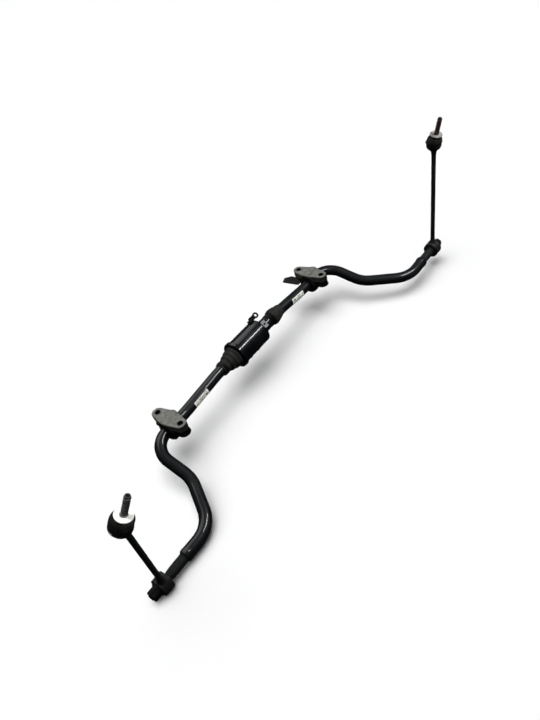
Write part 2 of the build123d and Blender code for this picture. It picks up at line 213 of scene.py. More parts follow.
def rubber(name, colour, dust, amount):
    """Matt rubber with fine grain and a film of dust."""
    shader = Shader(name)
    shader.bsdf.inputs["Specular IOR Level"].default_value = 0.35
    cloud = shader.noise(0.014, detail=7, roughness=0.66)
    film = shader.ramp(cloud, 0.42, 0.72, 0.0, amount)
    shader.colour(shader.mix(film, colour, dust))
    shader.rough(shader.ramp(cloud, 0.3, 0.7, 0.6, 0.86))
    shader.bump(shader.noise(0.0008, detail=3), 0.00006)
    shader.bump(cloud, 0.00022)
    return shader.material


def bright_metal(name, light, dark, roughness, stain, stained):
    """Machined or plated metal with turned marks and stains."""
    shader = Shader(name, metallic=1.0)
    marks = shader.noise(0.0006, detail=2, stretch=(0.3, 1.0, 1.0))
    cloud = shader.noise(0.005, detail=6, roughness=0.7)
    base = shader.mix(shader.ramp(cloud, 0.35, 0.65), light, dark)
    shader.colour(shader.mix(shader.ramp(cloud, 0.66 - stained, 0.84 - stained), base, stain))
    shader.rough(shader.ramp(cloud, 0.3, 0.7, roughness, roughness + 0.22))
    shader.bump(marks, 0.00003)
    shader.bump(cloud, 0.00008)
    return shader.material


def pale_plate(name):
    """White zinc-flake coating with faint smudges."""
    shader = Shader(name, metallic=0.15)
    cloud = shader.noise(0.007, detail=5, roughness=0.62)
    fine = shader.noise(0.0012, detail=4)
    shader.colour(shader.mix(shader.ramp(cloud, 0.58, 0.78), (0.93, 0.93, 0.90), (0.62, 0.62, 0.58)))
    shader.rough(shader.ramp(fine, 0.3, 0.7, 0.32, 0.5))
    shader.bump(fine, 0.00005)
    return shader.material


def moulded(name, colour, shade, roughness):
    """Moulded plastic or sintered metal with a fine even grain."""
    shader = Shader(name)
    cloud = shader.noise(0.004, detail=5)
    shader.colour(shader.mix(shader.ramp(cloud, 0.35, 0.7), colour, shade))
    shader.rough(shader.ramp(cloud, 0.3, 0.7, roughness, roughness + 0.15))
    shader.bump(shader.noise(0.0007, detail=2), 0.00003)
    return shader.material


def label_paper(name, centre, run, facing):
    """Off-white paper with generic print: a bar pattern, a block and two rows of plain marks."""
    shader = Shader(name, roughness=0.5)
    upward = facing.cross(run).normalized()
    turn = Matrix((run, upward, facing)).transposed().to_euler()
    local = shader.node("ShaderNodeMapping", vector_type="TEXTURE")
    local.inputs["Location"].default_value = centre
    local.inputs["Rotation"].default_value = turn
    shader.link(shader.place, local.inputs["Vector"])
    split = shader.node("ShaderNodeSeparateXYZ")
    shader.link(local.outputs["Vector"], split.inputs["Vector"])
    along, over = split.outputs["X"], split.outputs["Y"]

    def band(value, low, high):
        above = shader.combine(value, low, "GREATER_THAN")
        below = shader.combine(value, high, "LESS_THAN")
        return shader.combine(above, below, "MULTIPLY")

    def strokes(size, cut, seed):
        """Random strokes of one width along the label."""
        steps = shader.combine(shader.combine(along, 1 / size, "MULTIPLY"), seed, "ADD")
        floor = shader.node("ShaderNodeMath", operation="FLOOR")
        shader.link(steps, floor.inputs[0])
        dice = shader.node("ShaderNodeTexWhiteNoise", noise_dimensions="1D")
        shader.link(floor.outputs[0], dice.inputs["W"])
        return shader.combine(dice.outputs["Value"], cut, "GREATER_THAN")

    code = shader.combine(strokes(0.0006, 0.5, 3.0), band(over, -0.0005, 0.0052), "MULTIPLY")
    code = shader.combine(code, band(along, -0.008, 0.021), "MULTIPLY")
    marks = shader.combine(strokes(0.0013, 0.28, 11.0), band(over, -0.0036, -0.0016), "MULTIPLY")
    more = shader.combine(strokes(0.0011, 0.35, 29.0), band(over, -0.0066, -0.0048), "MULTIPLY")
    block = shader.combine(band(along, -0.0195, -0.0115), band(over, -0.001, 0.005), "MULTIPLY")
    text = shader.combine(shader.combine(marks, more, "MAXIMUM"), band(along, -0.020, 0.019), "MULTIPLY")
    ink = shader.combine(shader.combine(code, text, "MAXIMUM"), block, "MAXIMUM")
    cloud = shader.noise(0.006, detail=6, roughness=0.7)
    paper = shader.mix(shader.ramp(cloud, 0.45, 0.75), (0.86, 0.86, 0.79), (0.42, 0.42, 0.38))
    worn = shader.combine(ink, shader.ramp(cloud, 0.75, 0.45, 0.35, 0.95), "MULTIPLY")
    shader.colour(shader.mix(worn, paper, (0.05, 0.05, 0.045)))
    shader.bump(cloud, 0.00006)
    return shader.material


LABEL_X = {-1: 195.0, 1: 205.0}
LABEL_FACING = math.radians(82)
MATERIALS = {
    "bar_paint": painted("bar_paint", (0.0055, 0.0068, 0.0088), (0.2, 0.2, 0.19), 0.3, 0.8, 0.00008, 0.12),
    "motor_paint": painted(
        "motor_paint", (0.0045, 0.0058, 0.0078), (0.18, 0.18, 0.18), 0.18, 0.75, 0.00004, 0.08),
    "link_coat": painted("link_coat", (0.02, 0.021, 0.019), (0.16, 0.15, 0.13), 0.34, 0.15, 0.0002, 0.12),
    "cast_grey": cast_metal("cast_grey", (0.33, 0.335, 0.3), (0.13, 0.134, 0.118), 0.2, 0.00012),
    "dark_steel": cast_metal("dark_steel", (0.034, 0.035, 0.031), (0.012, 0.0125, 0.011), 0.2, 0.0001),
    "rubber": rubber("rubber", (0.018, 0.0185, 0.0165), (0.075, 0.076, 0.066), 0.75),
    "zinc": bright_metal("zinc", (0.42, 0.42, 0.40), (0.16, 0.16, 0.15), 0.3, (0.05, 0.045, 0.04), 0.08),
    "white_plate": pale_plate("white_plate"),
    "bronze": bright_metal("bronze", (0.62, 0.42, 0.2), (0.4, 0.26, 0.12), 0.32, (0.2, 0.12, 0.06), 0.0),
    "steel": bright_metal("steel", (0.5, 0.5, 0.5), (0.32, 0.32, 0.32), 0.25, (0.12, 0.11, 0.1), 0.0),
    # Light grey alloy of the port block, partly a painted highlight on the motor housing's shoulder.
    "block_alloy": cast_metal("block_alloy", (0.5, 0.52, 0.54), (0.3, 0.31, 0.33), 0.4, 0.00005),
    "plastic": moulded("plastic", (0.68, 0.66, 0.6), (0.55, 0.53, 0.47), 0.35),
}
RUSTY = bright_metal("rusty_stud", (0.16, 0.13, 0.115), (0.07, 0.05, 0.042), 0.42, (0.12, 0.045, 0.02), 0.16)
WORN_PLATE = cast_metal("worn_plate", (0.8, 0.8, 0.75), (0.3, 0.3, 0.27), 0.3, 0.00008)
FORGED = cast_metal("forged_neck", (0.02, 0.0215, 0.021), (0.009, 0.01, 0.01), 0.25, 0.0001)


# ------------------------------------------------------------------ geometry tools
EVEN_SKIN = 180.0


def add_piece(name, mesh, material, body, node=None, sharp=38.0):
    """Makes a piece that may ride on a body and stand for a CAD node; edges past sharp stay crisp."""
    mesh.shade_smooth()
    mesh.set_sharp_from_angle(angle=math.radians(sharp))
    mesh.materials.clear()
    mesh.materials.append(material)
    made = bpy.data.objects.new(name, mesh)
    bpy.context.scene.collection.objects.link(made)
    if body:
        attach(made, body)
    if node:
        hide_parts(node)
    return made


def to_mesh(name, bm):
    bmesh.ops.recalc_face_normals(bm, faces=bm.faces)
    mesh = bpy.data.meshes.new(name)
    bm.to_mesh(mesh)
    bm.free()
    return mesh


def rounded(outline, radius, steps=4, closed=False):
    """The outline, in mm, with its corners eased by that radius."""
    made = []
    count = len(outline)
    for i, corner in enumerate(outline):
        if not closed and i in (0, count - 1):
            made.append(tuple(corner))
            continue
        here = Vector(corner)
        before, after = Vector(outline[i - 1]), Vector(outline[(i + 1) % count])
        reach = min(radius, 0.45 * (before - here).length, 0.45 * (after - here).length)
        start = here + (before - here).normalized() * reach
        end = here + (after - here).normalized() * reach
        for step in range(steps + 1):
            t = step / steps
            made.append(tuple(start.lerp(here, t).lerp(here.lerp(end, t), t)))
    return made


def dense(low, high, step):
    """Evenly spaced numbers from low to high."""
    count = max(1, round((high - low) / step))
    return [low + (high - low) * i / count for i in range(count + 1)]


def frame_for(axis):
    """Two unit vectors across an axis."""
    hint = Vector((0, 0, 1)) if abs(axis.z) < 0.9 else Vector((0, 1, 0))
    across = hint.cross(axis).normalized()
    return across, axis.cross(across).normalized()


def skin(bm, rings, wrap):
    """Joins rings of vertices; a ring of one vertex is a pole."""
    pairs = list(zip(rings, rings[1:]))
    if wrap:
        pairs.append((rings[-1], rings[0]))
    for low, high in pairs:
        count = max(len(low), len(high))
        for i in range(count):
            j = (i + 1) % count
            if len(low) == 1 and len(high) == 1:
                continue
            if len(low) == 1:
                bm.faces.new((low[0], high[j], high[i]))
            elif len(high) == 1:
                bm.faces.new((low[i], low[j], high[0]))
            else:
                bm.faces.new((low[i], low[j], high[j], high[i]))


def lathe(bm, origin, axis, outline, sides=96, shape=None, closed=False):
    """Turned form; outline is (radius, distance along the axis) in mm and shape may bend it."""
    across, over = frame_for(axis)
    rings = []
    for radius, along in outline:
        if radius < 1e-4:
            rings.append([bm.verts.new(origin + axis * along * MM)])
            continue
        ring = []
        for i in range(sides):
            angle = TAU * i / sides
            r, h = shape(angle, radius, along) if shape else (radius, along)
            direction = across * math.cos(angle) + over * math.sin(angle)
            ring.append(bm.verts.new(origin + axis * h * MM + direction * r * MM))
        rings.append(ring)
    skin(bm, rings, closed)


def turned(name, origin, axis, outline, material, body, node, sides=96, shape=None, closed=False,
           sharp=38.0):
    """A turned form as a piece of its own."""
    bm = bmesh.new()
    lathe(bm, origin, axis, outline, sides, shape, closed)
    add_piece(name, to_mesh(name, bm), material, body, node, sharp)


def thread_shape(major, depth, pitch, start, end):
    """Shape of a V thread between two heights, fading in and out."""

    def shape(angle, radius, along):
        if abs(radius - major) > 0.01 or not start <= along <= end:
            return radius, along
        phase = (along / pitch - angle / TAU) % 1.0
        groove = 1 - abs(2 * phase - 1)
        fade = min(1.0, (along - start) / pitch, (end - along) / pitch)
        return radius - depth * min(1.0, groove * 1.25) * max(0.0, fade), along

    return shape


def hexagon(flats, angle):
    """Radius of a hexagon across its flats, at an angle."""
    part = (angle + math.pi / 6) % (math.pi / 3) - math.pi / 6
    return flats / 2 / math.cos(part)


def hex_nut(bm, origin, axis, flats, height, bore, chamfer=1.6):
    """Hexagon nut with both ends chamfered."""
    corner = flats / 2 / math.cos(math.pi / 6)

    def shape(angle, radius, along):
        if radius < flats / 2 - 0.5:
            return radius, along
        edge = min(along, height - along)
        return min(hexagon(flats, angle), corner - chamfer + edge * 1.9, radius), along

    ends = [0.0, 0.3, 0.6, 0.9, 1.3]
    rows = ends + dense(2, height - 2, 2) + [height - inset for inset in reversed(ends)]
    outer = [(corner, row) for row in rows]
    outline = [(bore, 0.6), (bore + 0.6, 0.0)] + outer + [(bore + 0.6, height), (bore, height - 0.6)]
    lathe(bm, origin, axis, outline, 96, shape, closed=True)


def roughen(mesh, size, depth, seed=0.0):
    """Moves the vertices along their normals by a fixed noise."""
    offset = Vector((seed, seed * 0.7, seed * 1.3))
    normals = [vertex.normal.copy() for vertex in mesh.vertices]
    for vertex, normal in zip(mesh.vertices, normals):
        lift = noise.fractal(vertex.co / size + offset, 1.0, 2.0, 3)
        vertex.co += normal * lift * depth


def remeshed(source, voxel, rounds):
    """A closed mesh as an even, softened skin."""
    work = bpy.data.objects.new("work", source)
    bpy.context.scene.collection.objects.link(work)
    skin_modifier = work.modifiers.new("skin", "REMESH")
    skin_modifier.mode = "VOXEL"
    skin_modifier.voxel_size = voxel
    soften = work.modifiers.new("soften", "SMOOTH")
    soften.factor = 0.5
    soften.iterations = rounds
    graph = bpy.context.evaluated_depsgraph_get()
    made = bpy.data.meshes.new_from_object(work.evaluated_get(graph))
    bpy.data.objects.remove(work)
    return made


def casting(node, name, material, voxel, rounds, grain):
    """The CAD node's form with softened edges and a cast skin; grain is its lumps' size and depth."""
    bm = bmesh.new()
    bm.from_mesh(frame["nodes"][node].data)
    bmesh.ops.remove_doubles(bm, verts=bm.verts, dist=1e-6)
    source = to_mesh(name + "_source", bm)
    mesh = remeshed(source, voxel, rounds)
    roughen(mesh, *grain)
    add_piece(name, mesh, material, BODY_OF[node], node, EVEN_SKIN)


# ------------------------------------------------------------------ places
BUSH = {side: Vector(JOINTS[f"{name}_bush_turn"]["pos_m"]) for side, name in SIDES}
MOTOR = Vector(JOINTS["motor_swivel"]["pos_m"])
EYE = {side: Vector(JOINTS[f"{name}_link_swing"]["pos_m"]) for side, name in SIDES}
BALL = {side: Vector(JOINTS[f"{name}_joint_turn"]["pos_m"]) for side, name in SIDES}
ROD = {side: Vector(JOINTS[f"{name}_joint_turn"]["axis"]) for side, name in SIDES}
STUD = {side: Vector(MOUNTS[f"{name}_link_stud"]["axis"]) for side, name in SIDES}

BAR_R = 14.0
HALF_SPAN = 288.0
AXIS_HEIGHT = 4.0
JOG_START = 122.0
JOG_END = 245.0
CORNER_X = 360.0
ARM_DROP = {-1: 20.5, 1: 12.5}
ARM_KNEE = (360.0, 117.0, -3.0)
ARM_ELBOW = {-1: (421.0, 218.0, 8.0), 1: (431.0, 222.0, 8.0)}
BEND_RADII = (300.0, 300.0, 50.0, 78.0, 70.0)
ROUTE_STEP = 0.003
SHOULDER_X = {-1: 497.0, 1: 507.0}
SHOULDER_TO_EYE = 66.0
NECK_R = 11.2
NOSE_R = 9.5
PIN_R = 7.0
PIN_REACH = 35.0
NOSE_END = -13.5
BAR_START = {-1: 88.0, 1: 84.0}
MOTOR_RISE = (MOTOR.z - BUSH[1].z) / MM


def on_bar(x, y, z):
    """Point, in metres, from its place in mm on the brackets' common axis, below the motor."""
    return Vector((x + HALF_SPAN, y, z + AXIS_HEIGHT)) * MM


def on_arm(side, x, along, height):
    """Point on an arm, in metres, from its x, distance along and height above its plane."""
    slope = math.radians(ARM_DROP[side])
    y = -along * math.cos(slope) - height * math.sin(slope)
    z = -along * math.sin(slope) + height * math.cos(slope)
    return on_bar(side * x, y, z)


def bent_route(points, radii, step):
    """Straight runs joined by tangent arcs, with points no more than step metres apart."""
    bends = [points[0]]
    for here, before, after, radius in zip(points[1:], points, points[2:], radii):
        back = (before - here).normalized()
        ahead = (after - here).normalized()
        half = back.angle(ahead) / 2
        start = here + back * radius * MM / math.tan(half)
        centre = here + (back + ahead).normalized() * radius * MM / math.sin(half)
        spoke = start - centre
        axis = spoke.cross(here - start).normalized()
        turn = math.pi - 2 * half
        for share in dense(0, 1, 1 / max(4, round(radius * MM * turn / step))):
            bends.append(centre + Matrix.Rotation(turn * share, 3, axis) @ spoke)
    bends.append(points[-1])
    route = [bends[0]]
    for point in bends[1:]:
        last, gap = route[-1], (point - route[-1]).length
        if gap < 1e-6:
            continue
        count = max(1, math.ceil(gap / step - 0.01))
        route += [last.lerp(point, (k + 1) / count) for k in range(count)]
    return route


def sweep(bm, stations, sides, shape):
    """Skin round a line of (point, radius in mm, distance in mm) stations, closed at both ends."""
    tangents = []
    for i in range(len(stations)):
        ahead, behind = stations[min(i + 1, len(stations) - 1)][0], stations[max(i - 1, 0)][0]
        tangent = ahead - behind
        tangents.append(tangent.normalized() if tangent.length > 1e-7 else tangents[-1])
    across = frame_for(tangents[0])[0]
    rings = [[bm.verts.new(stations[0][0])]]
    for i, (point, radius, along) in enumerate(stations):
        if i:
            across = tangents[i - 1].rotation_difference(tangents[i]) @ across
        across = (across - tangents[i] * across.dot(tangents[i])).normalized()
        over = tangents[i].cross(across)
        ring = []
        for k in range(sides):
            angle = TAU * k / sides
            r = shape(angle, radius, along)
            ring.append(bm.verts.new(point + (across * math.cos(angle) + over * math.sin(angle)) * r * MM))
        rings.append(ring)
    rings.append([bm.verts.new(stations[-1][0])])
    skin(bm, rings, False)


# ------------------------------------------------------------------ bar halves
def label_place(side):
    """Centre on the bar's line, run and facing of a part label."""
    share = (JOG_END - LABEL_X[side]) / (JOG_END - JOG_START)
    centre = on_bar(side * LABEL_X[side], 0, MOTOR_RISE * share)
    run = Vector((side * (JOG_END - JOG_START), 0, -MOTOR_RISE)).normalized()
    facing = Vector((0, -math.sin(LABEL_FACING), math.cos(LABEL_FACING)))
    return centre, run, facing


def bar_half(side, name):
    """Bent bar, upset shoulder, forged neck and threaded pin as one skin."""
    points = [
        MOTOR + X_AXIS * side * BAR_START[side] * MM,
        MOTOR + X_AXIS * side * JOG_START * MM,
        on_bar(side * JOG_END, 0, 0),
        on_bar(side * CORNER_X, 0, 0),
        on_arm(side, *ARM_KNEE),
        on_arm(side, *ARM_ELBOW[side]),
        on_arm(side, SHOULDER_X[side], *ARM_ELBOW[side][1:]),
    ]
    route = bent_route(points, BEND_RADII, ROUTE_STEP)
    stations, along = [], 0.0
    for i, point in enumerate(route):
        along += (point - route[i - 1]).length / MM if i else 0.0
        stations.append((point, BAR_R, along))
    inboard = -SHOULDER_TO_EYE
    profile = [(BAR_R, inboard - 3), (BAR_R, inboard), (BAR_R, inboard + 1)]
    profile += [(12.2, inboard + 3.2), (NECK_R, inboard + 6)]
    profile += [(NECK_R, h) for h in dense(inboard + 10, NOSE_END - 14, 4)]
    profile += [(10.8, NOSE_END - 8), (NOSE_R, NOSE_END - 1), (NOSE_R, NOSE_END)]
    profile += [(PIN_R, NOSE_END), (PIN_R, 16)]
    profile += [(PIN_R, h) for h in dense(16.3, PIN_REACH - 1.2, 0.22)]
    profile += [(PIN_R - 0.4, PIN_REACH - 0.5), (PIN_R - 1, PIN_REACH)]
    axis = X_AXIS * side
    shoulder = along
    for radius, height in rounded(profile[1:-1], 0.5, 2):
        stations.append((EYE[side] + axis * height * MM, radius, shoulder + height - inboard))
    stations.append((EYE[side] + axis * PIN_REACH * MM, PIN_R - 1, shoulder + PIN_REACH - inboard))
    thread = thread_shape(PIN_R, 0.7, 1.5, shoulder + 17 - inboard, shoulder + PIN_REACH - 1 - inboard)

    def shape(angle, radius, distance):
        if radius > NOSE_R + 0.1:
            place = Vector((math.cos(angle), math.sin(angle), distance * 0.022)) * 1.3
            lift = noise.noise(place + Vector((side * 9.0, 0, 0))) * 0.16
            upset = math.exp(-(((distance - shoulder + 5) / 6.0) ** 2))
            ragged = noise.noise(Vector((math.cos(angle) * 2, math.sin(angle) * 2, side)))
            burr = max(0.0, ragged) * upset * 1.8 + upset * 0.5
            return radius + lift + (burr if radius > 13 else 0)
        return thread(angle, radius, distance)[0]

    bm = bmesh.new()
    sweep(bm, stations, 64, shape)
    mesh = to_mesh(f"{name}_bar_skin", bm)
    add_piece(f"{name}_bar_forging", mesh, MATERIALS["bar_paint"], f"{name}_half", f"{name}_bar", 40)
    mesh.materials.append(FORGED)
    neck_start = on_arm(side, SHOULDER_X[side], *ARM_ELBOW[side][1:])
    for face in mesh.polygons:
        if (face.center - neck_start).dot(axis) > 0.001:
            face.material_index = 1


for side, name in SIDES:
    bar_half(side, name)
    centre, run, facing = label_place(side)
    MATERIALS[f"paper_{name}"] = label_paper(f"label_paper_{name}", centre, run, facing)

# ------------------------------------------------------------------ vane motor
housing_outline = rounded(
    [(26.0, -39.6), (30.0, -40.0), (32.2, -39.9), (32.5, -39.0)]
    + [(32.5, h) for h in dense(-36, 38, 6)]
    + [(32.5, 41.0), (32.1, 41.4), (32.1, 42.4), (32.5, 42.8), (32.5, 46.0), (26.0, 46.0)], 0.35, 2)
turned("motor_housing_shell", MOTOR, X_AXIS, housing_outline, MATERIALS["motor_paint"], "right_half",
       "motor_housing", sides=128, closed=True)

rim_outline = rounded(
    [(15.0, -28), (25.9, -28), (25.9, -39.9), (33.6, -39.9), (34.2, -41.2), (36.0, -41.8), (36.0, -49.8),
     (35.2, -51.6), (33.4, -52.0), (17.0, -52.0), (17.0, -43.0), (15.0, -43.0)], 0.7, 4, closed=True)
turned("motor_front_rim", MOTOR, X_AXIS, rim_outline, MATERIALS["motor_paint"], "right_half",
       "motor_front_cover", sides=128, closed=True)

rear_outline = rounded(
    [(0, 84), (17.0, 84), (17.1, 72), (18.2, 63), (20.5, 58.8), (27, 54.2), (32.3, 50.3), (32.5, 46.1),
     (25.9, 46.1), (25.9, 34), (15.0, 34), (15.0, 52), (0, 52)], 0.9, 4)
turned("motor_rear_dome", MOTOR, X_AXIS, rear_outline, MATERIALS["motor_paint"], "right_half",
       "motor_rear_cover", sides=128)


def folds(places, depth, width):
    """Shape of soft circular folds at some heights, over a slow wave."""

    def shape(angle, radius, along):
        lift = sum(-depth * math.exp(-(((along - place) / width) ** 2)) for place in places)
        wave = noise.noise(Vector((math.cos(angle) * 1.2, math.sin(angle) * 1.2, along * 0.06))) * 0.5
        return radius + lift + wave, along

    return shape


def profile_through(points, step):
    """Smooth outline through (radius, height) points, by Catmull-Rom."""
    made = []
    for i in range(len(points) - 1):
        before = Vector(points[max(i - 1, 0)])
        first, second = Vector(points[i]), Vector(points[i + 1])
        after = Vector(points[min(i + 2, len(points) - 1)])
        count = max(2, round((second - first).length / step))
        for k in range(count):
            t = k / count
            made.append(tuple(0.5 * (2 * first + (second - before) * t
                              + (2 * before - 5 * first + 4 * second - after) * t * t
                              + (3 * first - before - 3 * second + after) * t ** 3)))
    made.append(tuple(points[-1]))
    return made


boot_outer = profile_through(
    [(27.6, -52.6), (28.3, -54.5), (28.4, -58), (27.0, -61.5), (25.9, -65), (25.4, -69.5), (23.6, -73),
     (22.3, -77), (21.7, -81.5), (19.6, -85.5), (18.2, -89), (17.5, -93), (17.2, -100), (17.1, -106)], 1.0)
boot_inner = [(14.2, -107), (14.2, -92), (16.2, -86), (19, -81), (20.4, -73), (22.8, -69), (23.6, -61),
              (25.7, -57), (26.0, -52.6)]
boot_fold = folds((-62.5, -73.8, -86.0), 0.7, 1.4)


def boot_shape(angle, radius, along):
    if radius < 17 or (radius, along) in boot_inner:
        return radius, along
    return boot_fold(angle, radius, along)


turned("motor_boot_rubber", MOTOR, X_AXIS, boot_outer + boot_inner, MATERIALS["rubber"], "left_half",
       "motor_boot", sides=128, shape=boot_shape, closed=True, sharp=60)

sleeve_outer = profile_through(
    [(17.6, 97.6), (19.2, 98.4), (20.7, 100.6), (21.6, 106), (21.4, 112), (20.4, 118.5), (18.9, 124.5),
     (17.3, 130), (16.2, 134.5), (15.6, 138)], 1.0)
sleeve_fold = folds((102.5, 128.0), 0.4, 1.6)


def sleeve_shape(angle, radius, along):
    return (radius, along) if radius < 15.3 else sleeve_fold(angle, radius, along)


sleeve_outline = sleeve_outer + [(14.3, 138.3), (14.3, 97.4)]
turned("motor_sleeve_rubber", MOTOR, X_AXIS, sleeve_outline, MATERIALS["rubber"], "right_half",
       "motor_sleeve", sides=128, shape=sleeve_shape, closed=True, sharp=60)
collar_outline = rounded(
    [(14.3, 84.3), (17.2, 84.3), (17.9, 85.6), (17.4, 87.4), (17.9, 89.2), (17.7, 95.4), (16.8, 97.0),
     (14.3, 97.0)], 0.5, 3, closed=True)
turned("motor_sleeve_collar", MOTOR, X_AXIS, collar_outline, MATERIALS["dark_steel"], "right_half",
       "motor_sleeve_ring", closed=True)

# The port block's light grey alloy is partly painted highlight: it brightens the housing's shoulder where a
# reflection falls.
casting("motor_port_block", "motor_port_block_with_painted_highlight", MATERIALS["block_alloy"], 0.00035, 3,
        (0.006, 0.00005))
casting("motor_line_lug", "motor_line_strap", MATERIALS["dark_steel"], 0.00035, 6, (0.006, 0.0001))
casting("motor_boot_clamp", "motor_boot_band", MATERIALS["dark_steel"], 0.0003, 3, (0.006, 0.00003))
casting("motor_port_bosses", "motor_port_unions", MATERIALS["motor_paint"], 0.0004, 3, (0.006, 0.00004))

# ------------------------------------------------------------------ brackets
for side, name in SIDES:
    casting(f"{name}_bracket_cap", f"{name}_cap_casting", MATERIALS["cast_grey"], 0.0008, 9,
            (0.007, 0.00035))
    # The base takes dark steel under the lighter cap: its dark finish is painted shade for the bracket's side
    # walls, which face away from the light.
    casting(f"{name}_bracket_base", f"{name}_painted_shade_base", MATERIALS["dark_steel"], 0.0008, 8,
            (0.007, 0.0003))
    lip = rounded(
        [(14.3, -21.4), (23.2, -21.4), (24.6, -20.0), (24.9, -17), (24.9, 17), (24.6, 20.0), (23.2, 21.4),
         (14.3, 21.4)], 0.8, 3, closed=True)
    turned(f"{name}_bush_rubber", BUSH[side], X_AXIS, lip, MATERIALS["rubber"], f"{name}_bracket",
           f"{name}_bush", closed=True)
casting("right_guard_plate", "right_guard_shield", MATERIALS["dark_steel"], 0.0005, 5, (0.01, 0.0003))

# ------------------------------------------------------------------ end links
ROD_R = 5.75
EYE_R = 20.5
EYE_BORE = 17.0
EYE_HALF = 13.0
LINK_LENGTH = 300.0
BALL_R = 11.0
STUD_R = 6.0
STUD_END = 70.0
THREAD_START = 28.5
SOCKET_FLATS = 6.0
SOCKET_R = 3.5
BOOT_FOOT = 4.6
BOOT_TOP = 23.4
BOOT_MIDDLE = 13.0
BOOT_LENGTH = 30.0
BOOT_WALL = 2.0
BOOT_SIDES = 96
CREASE_WIDTH = 0.035
WASHER_FACE = 16.5


def link_forging(side, name):
    """Rod that flares into its eye and its joint housing, as one forging."""
    bm = bmesh.new()
    axis = X_AXIS * side
    rod = [(0, EYE_BORE + 1), (9.5, EYE_BORE + 1.5), (8.8, EYE_R), (7.2, EYE_R + 3.5), (6.2, EYE_R + 8),
           (ROD_R, EYE_R + 14)]
    rod += [(ROD_R, h) for h in dense(EYE_R + 20, LINK_LENGTH - 32, 6)]
    rod += [(6.2, LINK_LENGTH - 26), (7.3, LINK_LENGTH - 20), (9.2, LINK_LENGTH - 16.2),
            (0, LINK_LENGTH - 13.4)]
    lathe(bm, EYE[side], ROD[side], rod, 64)
    ring = [(EYE_BORE, -EYE_HALF), (EYE_R, -EYE_HALF), (EYE_R, EYE_HALF), (EYE_BORE, EYE_HALF)]
    lathe(bm, EYE[side], axis, rounded(ring, 1.2, 4, closed=True), 128, closed=True)
    cup = rounded(
        [(0, -15), (10, -14.8), (14.6, -12.6), (17.6, -8.6), (19, -4), (19, 3.2), (18.2, 4), (16, 4),
         (16, 10), (14.5, 10), (14.5, -9.2), (11, -12.9), (0, -12.9)], 1.0, 4)
    lathe(bm, BALL[side], ROD[side], cup, 128)
    mesh = remeshed(to_mesh(f"{name}_link_source", bm), 0.0006, 5)
    bore = EYE_BORE * MM
    for vertex in mesh.vertices:
        offset = vertex.co - EYE[side]
        radial = offset - axis * offset.dot(axis)
        if radial.length < bore and radial.length > 1e-6:
            vertex.co += radial.normalized() * (bore - radial.length)
    roughen(mesh, 0.009, 0.00012, side)
    add_piece(f"{name}_link_forging", mesh, MATERIALS["link_coat"], f"{name}_link_rod", f"{name}_link",
              EVEN_SKIN)


def link_boot(side, name):
    """Rubber boot from the joint housing's neck to the stud's flange, curved from the rod's axis to the stud's."""
    ball, rod, stud = BALL[side], ROD[side], STUD[side]
    start, end = ball + rod * BOOT_FOOT * MM, ball + stud * BOOT_TOP * MM
    middle = ball + (rod + stud).normalized() * BOOT_MIDDLE * MM
    if side < 0:
        wall = [(18.9, 0), (19.7, 0.05), (20.2, 0.16), (20.4, 0.34), (20.3, 0.52), (19.9, 0.68), (19.0, 0.8),
                (17.3, 0.9), (14.5, 0.97), (11.5, 1.0)]
        creases = ((0.2, 0.8), (0.62, 0.6))
    else:
        wall = [(18.9, 0), (19.6, 0.06), (19.9, 0.16), (19.2, 0.3), (18.6, 0.42), (18.2, 0.55), (17.2, 0.68),
                (15.6, 0.8), (14.4, 0.9), (13.4, 0.97), (11.5, 1.0)]
        creases = ((0.24, 1.1), (0.5, 1.2), (0.74, 0.9))
    outer = profile_through([(r, t * BOOT_LENGTH) for r, t in wall], 0.7)
    loops = [(h / BOOT_LENGTH, r, 1.0) for r, h in outer]
    loops += [(h / BOOT_LENGTH, r - BOOT_WALL, 0.0) for r, h in reversed(outer)]
    bm = bmesh.new()
    rings = []
    for t, radius, outside in loops:
        centre = start.lerp(middle, t).lerp(middle.lerp(end, t), t)
        axis = rod.slerp(stud, t)
        across, over = frame_for(axis)
        ring = []
        for k in range(BOOT_SIDES):
            angle = TAU * k / BOOT_SIDES
            fold = sum(depth * math.exp(-(((t - place) / CREASE_WIDTH) ** 2)) for place, depth in creases)
            wave = noise.noise(Vector((math.cos(angle), math.sin(angle), t * 2 + side * 4))) * 0.5
            r = radius - outside * fold + outside * wave * math.sin(math.pi * t)
            ring.append(bm.verts.new(centre + (across * math.cos(angle) + over * math.sin(angle)) * r * MM))
        rings.append(ring)
    skin(bm, rings, True)
    mesh = to_mesh(f"{name}_boot", bm)
    boot = add_piece(f"{name}_boot_rubber", mesh, MATERIALS["rubber"], None, sharp=60)
    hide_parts(f"{name}_link_boot")
    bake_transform(boot)


